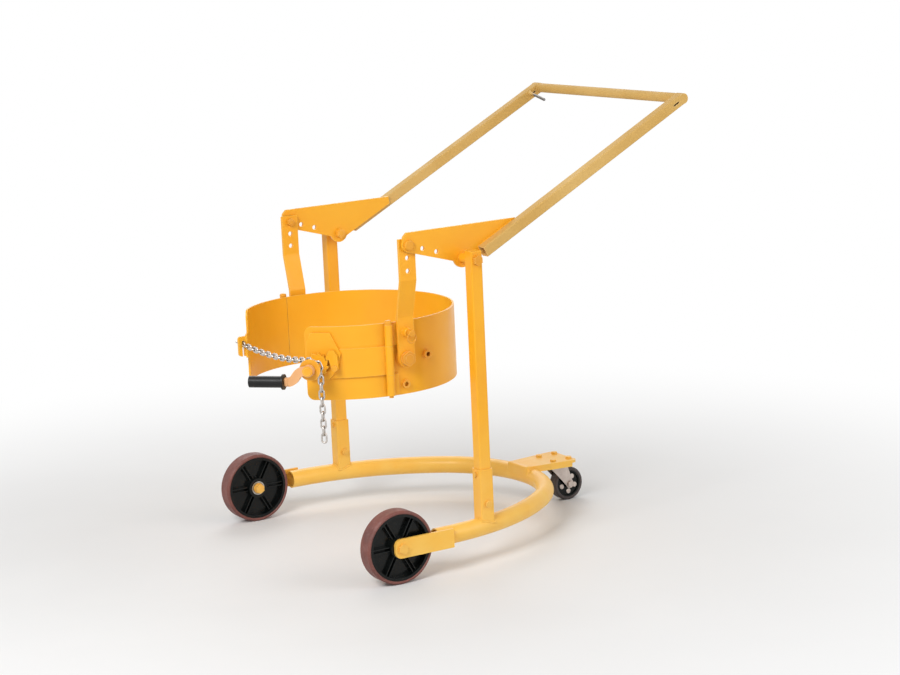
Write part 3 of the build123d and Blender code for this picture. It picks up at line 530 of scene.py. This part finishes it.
# Chain tightener: a steel pad on the left jaw carries a turned shaft with a saw-toothed ratchet wheel,
# a hooked pawl on its own pin and a toothed wheel for the chain, all painted over with the jaw.
coat(yellow_paint, "ratchet_pad", "ratchet_wheel", "pawl")
coat(bolt_paint, "ratchet_shaft", "pawl_pin", "chain_wheel")
break_edges(0.6 * mm, "ratchet_pad", "pawl", "ratchet_wheel")

# Chain: links of round wire, bent, welded and plated, with painted shade darkening their corners. One run
# goes across the jaws to the claw, and a loose tail hangs from the toothed wheel.


def turned_steel(name, colour, dark, rough_low, rough_high):
    """Bare steel with fine tool marks, and painted shade darkening the corners."""
    finish, tree, surface, place = new_finish(name)
    tone = spread(tree, cloud(tree, place, 90.0, 4.0), 0.3, 0.75)
    body = tint(tree, tone, colour, dark)
    # Painted shade: a dark tone laid in the corners.
    body = tint(tree, painted_corner_shade(tree, 6 * mm), body, (0.10, 0.085, 0.07))
    tree.links.new(body, surface.inputs["Base Color"])
    surface.inputs["Metallic"].default_value = 1.0
    rough = spread(tree, cloud(tree, place, 260.0, 4.0), 0.3, 0.7, rough_low, rough_high)
    tree.links.new(rough, surface.inputs["Roughness"])
    relief(tree, surface, cloud(tree, place, 900.0, 2.0), 0.05 * mm, 0.3)
    return finish


plated_chain = turned_steel(
    "plated_chain",
    (0.66, 0.62, 0.58),
    dark=(0.46, 0.43, 0.40),
    rough_low=0.24,
    rough_high=0.42,
)
coat(plated_chain, "chain_tail", "chain_run")

# Hand lever: a cut steel arm on the tightener's shaft, painted a shade paler than the frame. It
# thickens to a neck, and beyond that a black rubber grip is pushed on its end.
lever_paint = sprayed_paint("lever_paint", (0.82, 0.43, 0.19), (0.70, 0.33, 0.12), (0.92, 0.64, 0.38))
coat(lever_paint, "hand_lever")
break_edges(1.0 * mm, "hand_lever")
pad_angle = math.radians(46)
pad_out = Vector((math.sin(pad_angle), math.cos(pad_angle), 0))
pad_hingeward = Vector((-math.cos(pad_angle), math.sin(pad_angle), 0))
pad_face = band_outer + 10 * mm


def on_pad(x, y, z):
    """Point in the tightener's own directions: towards the hinge, up, and out from the pad."""
    return pad_hingeward * x + pad_out * (pad_face + z) + Vector((0, 0, band_middle + y))


def squared(value):
    """Sine or cosine swelled and cut off, so that a circle becomes a square with soft corners."""
    return max(-1.0, min(1.0, 1.25 * value))


neck_start = -54 * mm
neck_end = -68.2 * mm
neck_rise = -30 * mm
neck_out = 86 * mm
neck_corners = 16
neck_depth = 6.7 * mm
neck_shape = ((neck_start, 11.6 * mm), (neck_end + 3 * mm, 11.6 * mm), (neck_end, 10.5 * mm))
neck = bmesh.new()
neck_rows = []
for reach, half_width in neck_shape:
    row = []
    for turn in turns(neck_corners):
        half_step_on = turn + math.pi / neck_corners
        across = squared(math.cos(half_step_on)) * half_width
        deep = squared(math.sin(half_step_on)) * neck_depth
        row.append(neck.verts.new(on_pad(reach, neck_rise + across, neck_out + deep)))
    neck_rows.append(row)
skin(neck, neck_rows)
mesh_piece("lever_neck", neck, lever_paint, "ratchet_lever")


def black_moulding(name, colour, dust, grain, rough_low, rough_high, gloss):
    """Black moulded or dipped material with a fine grain, patches of dust and a painted highlight along
    its edges.
    """
    finish, tree, surface, place = new_finish(name)
    tone = spread(tree, cloud(tree, place, 30.0, 5.0), 0.4, 0.8, 0.0, 0.35)
    body = tint(tree, tone, colour, dust)
    # Painted highlight: the dust colour laid along the edges.
    body = tint(tree, edges(tree, 1.2 * mm), body, dust)
    tree.links.new(body, surface.inputs["Base Color"])
    rough = spread(tree, cloud(tree, place, 120.0, 4.0), 0.3, 0.75, rough_low, rough_high)
    tree.links.new(rough, surface.inputs["Roughness"])
    surface.inputs["Specular IOR Level"].default_value = gloss
    relief(tree, surface, cloud(tree, place, grain, 2.0), 0.12 * mm, 0.35)
    return finish


grip_rubber = black_moulding(
    "grip_rubber",
    (0.006, 0.006, 0.006),
    dust=(0.020, 0.018, 0.017),
    grain=1100.0,
    rough_low=0.30,
    rough_high=0.46,
    gloss=0.30,
)
coat(grip_rubber, "grip")
break_edges(2.0 * mm, "grip")

# Front wheels: black moulded cores with paired ribs, a red-brown tread bonded round them and a
# bearing pressed in each side of the hub. They turn on the axle bolts, painted with the frame.
wheel_plastic = black_moulding(
    "wheel_plastic",
    (0.003, 0.004, 0.004),
    dust=(0.015, 0.018, 0.017),
    grain=700.0,
    rough_low=0.16,
    rough_high=0.30,
    gloss=0.25,
)
coat(wheel_plastic, "left_wheel_core", "right_wheel_core")
bare_steel = turned_steel(
    "bare_steel",
    (0.60, 0.57, 0.53),
    dark=(0.42, 0.40, 0.37),
    rough_low=0.26,
    rough_high=0.44,
)
coat(bare_steel, "left_wheel_bearings", "right_wheel_bearings")
coat(bolt_paint, "axle_bolts")
break_edges(0.8 * mm, "axle_bolts")


def bonded_tread(name, colour, wear_and_edge_highlight, dust):
    """Bonded tread: mottled, dusty where it rolls and a little scuffed."""
    finish, tree, surface, place = new_finish(name)
    tone = spread(tree, cloud(tree, place, 26.0, 5.0), 0.35, 0.7)
    body = tint(tree, tone, colour, wear_and_edge_highlight)
    scuff = spread(tree, cloud(tree, place, 160.0, 6.0), 0.52, 0.75, 0.0, 0.45)
    body = tint(tree, scuff, body, dust)
    tree.links.new(body, surface.inputs["Base Color"])
    rough = spread(tree, cloud(tree, place, 60.0, 4.0), 0.3, 0.7, 0.45, 0.68)
    tree.links.new(rough, surface.inputs["Roughness"])
    relief(tree, surface, cloud(tree, place, 500.0, 3.0), 0.15 * mm, 0.4)
    return finish


tread_rubber = bonded_tread(
    "tread_rubber",
    (0.20, 0.064, 0.050),
    wear_and_edge_highlight=(0.13, 0.042, 0.034),
    dust=(0.26, 0.13, 0.11),
)
coat(tread_rubber, "left_wheel_tread", "right_wheel_tread")
break_edges(1.2 * mm, "left_wheel_tread", "right_wheel_tread")

# Tongue and caster: a plate welded on the rear of the tube, its front edge turned down and blended
# on to the tube, carries a swivel caster with a zinc plated fork, a riveted dark core and a solid tread.
coat(yellow_paint, "tongue_plate", "caster_bolts")
break_edges(1.0 * mm, "tongue_plate")
tongue_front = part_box("tongue_plate")[1]
tongue_half = 48 * mm
tongue_flare = 0.119
rear_bend_radius = 345 * mm
rear_bend_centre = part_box("base_tube")[0].x + tube_radius + rear_bend_radius


def rear_crown_at(y):
    """Where the tube's rear bend is highest, along the length of the frame."""
    return rear_bend_centre - math.sqrt(rear_bend_radius**2 - y**2)


def rear_top_at(x, y):
    """Height of the tube's upper surface in its rear bend."""
    off_axis = math.hypot(x - rear_bend_centre, y) - rear_bend_radius
    return tube_height + math.sqrt(max(0.0, tube_radius**2 - off_axis**2))


lip_head = ((-16, -0.4), (-13, 0.2), (-8, 0.8))
lip_middle = (-3.2, -4.8)
lip_round = 6 * mm
lip_turns = 8
lip_steps = 8
lip_toe = 25.2 * mm


def at_front_edge(y, forward, up):
    """Point beside the plate's upper front edge, set off from it in millimetres."""
    return Vector((tongue_front.x + forward * mm, y, tongue_front.z + up * mm))


def lip_section(y):
    """Section of the lip: out of the plate's top, round its front edge and down on to the tube."""
    section = [at_front_edge(y, *step) for step in lip_head]
    for count in range(lip_turns + 1):
        turn = math.pi / 2 * (1 - count / lip_turns)
        outward = Vector((math.cos(turn), 0, math.sin(turn)))
        section.append(at_front_edge(y, *lip_middle) + outward * lip_round)
    toe_x = rear_crown_at(y) + lip_toe
    toe = Vector((toe_x, y, rear_top_at(toe_x, y)))
    front = section[-1]
    drop = Vector((0, 0, (front.z - toe.z) / 3))
    section += interpolate_bezier(front, front - drop, toe + drop, toe, lip_steps)[1:]
    return section


lip_sunk = 0.6 * mm
lip_clear = 0.3 * mm
lip_corner = 6
lip_skirt = ((2, 0.90), (4, 0.66), (6, 0.34), (8, 0.10), (10, 0.0))


def on_tube(point):
    """The spot just under the tube's surface that lies straight in from a point."""
    axis = Vector((rear_crown_at(point.y), point.y, tube_height))
    away = Vector((point.x - axis.x, 0, point.z - axis.z))
    return axis + away.normalized() * (tube_radius - lip_sunk)


def lip_side(hand, out, fullness):
    """Row of the lip past the plate's side, sinking from the lip's section to the tube."""
    row = []
    for count, point in enumerate(lip_section(hand * tongue_half)):
        half = tongue_half + lip_clear + out * min(1.0, count / lip_corner)
        beside = Vector((point.x, hand * half, point.z))
        row.append(on_tube(beside).lerp(beside, fullness))
    return row


lip_rows = [lip_section(tongue_half * (count / 8 - 1)) for count in range(17)]
for out, fullness in lip_skirt:
    lip_rows.insert(0, lip_side(-1, out * mm, fullness))
    lip_rows.append(lip_side(1, out * mm, fullness))
lip = bmesh.new()
lip_rings = []
for row in lip_rows:
    inside = [Vector((point.x - 3 * mm, point.y, tube_height)) for point in (row[-1], row[0])]
    lip_rings.append([lip.verts.new(point) for point in row + inside])
skin(lip, lip_rings)
lip_piece = mesh_piece("tongue_lip", lip, yellow_paint, "frame")
lip_piece.data.set_sharp_from_angle(angle=math.radians(50))
tongue_bead = []
for count in range(16):
    back = (6 + 2 * count) * mm
    bead_x = tongue_front.x - back
    bead_y = tongue_half + tongue_flare * back + 0.4 * mm
    tongue_bead.append((bead_x, bead_y, rear_top_at(bead_x, bead_y)))
bead_piece("tongue_welds", on_both_sides([(tongue_bead, False)]), 2.6 * mm, "frame")


def zinc_plate(name):
    """Zinc plating: grey with a warm cast, cloudy, with painted shade in its corners."""
    finish, tree, surface, place = new_finish(name)
    tone = spread(tree, cloud(tree, place, 45.0, 5.0), 0.3, 0.72)
    body = tint(tree, tone, (0.62, 0.54, 0.49), (0.47, 0.40, 0.36))
    # Painted shade: a dark tone laid in the corners.
    body = tint(tree, painted_corner_shade(tree, 8 * mm), body, (0.12, 0.10, 0.09))
    tree.links.new(body, surface.inputs["Base Color"])
    surface.inputs["Metallic"].default_value = 0.9
    rough = spread(tree, cloud(tree, place, 130.0, 4.0), 0.3, 0.7, 0.30, 0.48)
    tree.links.new(rough, surface.inputs["Roughness"])
    relief(tree, surface, cloud(tree, place, 600.0, 2.0), 0.06 * mm, 0.3)
    return finish


zinc = zinc_plate("zinc_plate")
coat(zinc, "caster_mount", "caster_fork", "king_pin", "caster_axle", "caster_rivets")
break_edges(0.6 * mm, "caster_fork", "caster_mount", "caster_bolts", "caster_axle")
coat(wheel_plastic, "caster_core")
caster_rubber = bonded_tread(
    "caster_rubber",
    (0.06, 0.045, 0.042),
    wear_and_edge_highlight=(0.04, 0.03, 0.03),
    dust=(0.12, 0.09, 0.08),
)
coat(caster_rubber, "caster_tread")
break_edges(0.8 * mm, "caster_tread")

# Studio: a pale floor that fades into a white backdrop, soft light from the world and three broad
# lamps, and the camera at the photograph's place.


def background_rays(tree):
    """Share of the rays that see the white backdrop: straight from the camera, mirrored or through."""
    ray = tree.nodes.new("ShaderNodeLightPath")
    share = ray.outputs["Is Camera Ray"]
    for kind in ("Is Glossy Ray", "Is Transmission Ray"):
        either = tree.nodes.new("ShaderNodeMath")
        either.operation = "MAXIMUM"
        tree.links.new(share, either.inputs[0])
        tree.links.new(ray.outputs[kind], either.inputs[1])
        share = either.outputs[0]
    return share


floor_reach = 30.0
floor_mesh = bmesh.new()
floor_mesh.faces.new([floor_mesh.verts.new((x * floor_reach, y * floor_reach, 0)) for x, y in square])
floor_data = bpy.data.meshes.new("floor")
floor_mesh.to_mesh(floor_data)
floor_mesh.free()
floor_finish, floor_tree, floor_surface, floor_place = new_finish("floor_finish")
floor_tone = spread(floor_tree, cloud(floor_tree, floor_place, 2.0), 0.3, 0.7)
floor_colour = tint(floor_tree, floor_tone, (0.82, 0.82, 0.82), (0.80, 0.80, 0.80))
floor_tree.links.new(floor_colour, floor_surface.inputs["Base Color"])
floor_surface.inputs["Roughness"].default_value = 0.9
floor_far = node(floor_tree, "ShaderNodeVectorMath")
floor_far.operation = "LENGTH"
floor_tree.links.new(floor_place, floor_far.inputs[0])
fade = node(floor_tree, "ShaderNodeMapRange", From_Min=0.6, From_Max=2.6)
fade.interpolation_type = "SMOOTHSTEP"
floor_tree.links.new(floor_far.outputs["Value"], fade.inputs["Value"])
floor_white = node(floor_tree, "ShaderNodeEmission", Strength=1.0)
floor_mix = node(floor_tree, "ShaderNodeMixShader")
floor_share = times(floor_tree, fade.outputs["Result"], background_rays(floor_tree))
floor_tree.links.new(floor_share, floor_mix.inputs["Fac"])
floor_tree.links.new(floor_surface.outputs[0], floor_mix.inputs[1])
floor_tree.links.new(floor_white.outputs[0], floor_mix.inputs[2])
floor_tree.links.new(floor_mix.outputs[0], floor_tree.nodes["Material Output"].inputs["Surface"])
floor_data.materials.append(floor_finish)
floor = bpy.data.objects.new("floor", floor_data)
bpy.context.scene.collection.objects.link(floor)

scene = bpy.context.scene
scene.view_settings.view_transform = "Standard"
world = bpy.data.worlds.new("studio")
world.use_nodes = True
scene.world = world
world_tree = world.node_tree
sky = node(world_tree, "ShaderNodeBackground", Color=(1.0, 0.99, 0.97, 1), Strength=0.42)
seen = node(world_tree, "ShaderNodeBackground", Color=(1, 1, 1, 1), Strength=1.0)
choice = node(world_tree, "ShaderNodeMixShader")
world_tree.links.new(background_rays(world_tree), choice.inputs["Fac"])
world_tree.links.new(sky.outputs[0], choice.inputs[1])
world_tree.links.new(seen.outputs[0], choice.inputs[2])
world_tree.links.new(choice.outputs[0], world_tree.nodes["World Output"].inputs["Surface"])


def lamp(name, place, aim, size, watts):
    """Broad soft lamp aimed at a point."""
    light = bpy.data.lights.new(name, "AREA")
    light.shape = "SQUARE"
    light.size = size
    light.energy = watts
    holder = bpy.data.objects.new(name, light)
    holder.location = place
    holder.rotation_euler = (Vector(aim) - Vector(place)).to_track_quat("-Z", "Y").to_euler()
    scene.collection.objects.link(holder)


saddle_point = (-0.2, 0.0, 0.55)
lamp("key_lamp", (3.0, 2.0, 3.2), saddle_point, size=1.8, watts=125)
lamp("fill_lamp", (-2.6, 3.4, 2.0), saddle_point, size=2.4, watts=46)
lamp("back_lamp", (-1.5, -3.0, 2.8), saddle_point, size=2.4, watts=45)

image_width = 900
image_height = 675
sensor_width = 36.0
focal_pixels = 2258
camera_place = Vector((2.987, 5.444, 1.752))
aim_point = Vector((0, 0, 0.560))
aim_pixel = Vector((351.05, 348.08))
camera_roll = math.radians(-3.06)
camera_data = bpy.data.cameras.new("camera")
camera_data.sensor_width = sensor_width
camera_data.lens = focal_pixels * sensor_width / image_width
camera = bpy.data.objects.new("camera", camera_data)
scene.collection.objects.link(camera)
off_centre = Vector((aim_pixel.x - image_width / 2, image_height / 2 - aim_pixel.y, -focal_pixels))
look = (aim_point - camera_place).to_track_quat("-Z", "Y").to_matrix()
turn_off = off_centre.rotation_difference(Vector((0, 0, -1))).to_matrix()
rotation = look @ Matrix.Rotation(camera_roll, 3, "Z") @ turn_off
camera.matrix_world = Matrix.Translation(camera_place) @ rotation.to_4x4()
scene.camera = camera

bpy.context.view_layer.update()
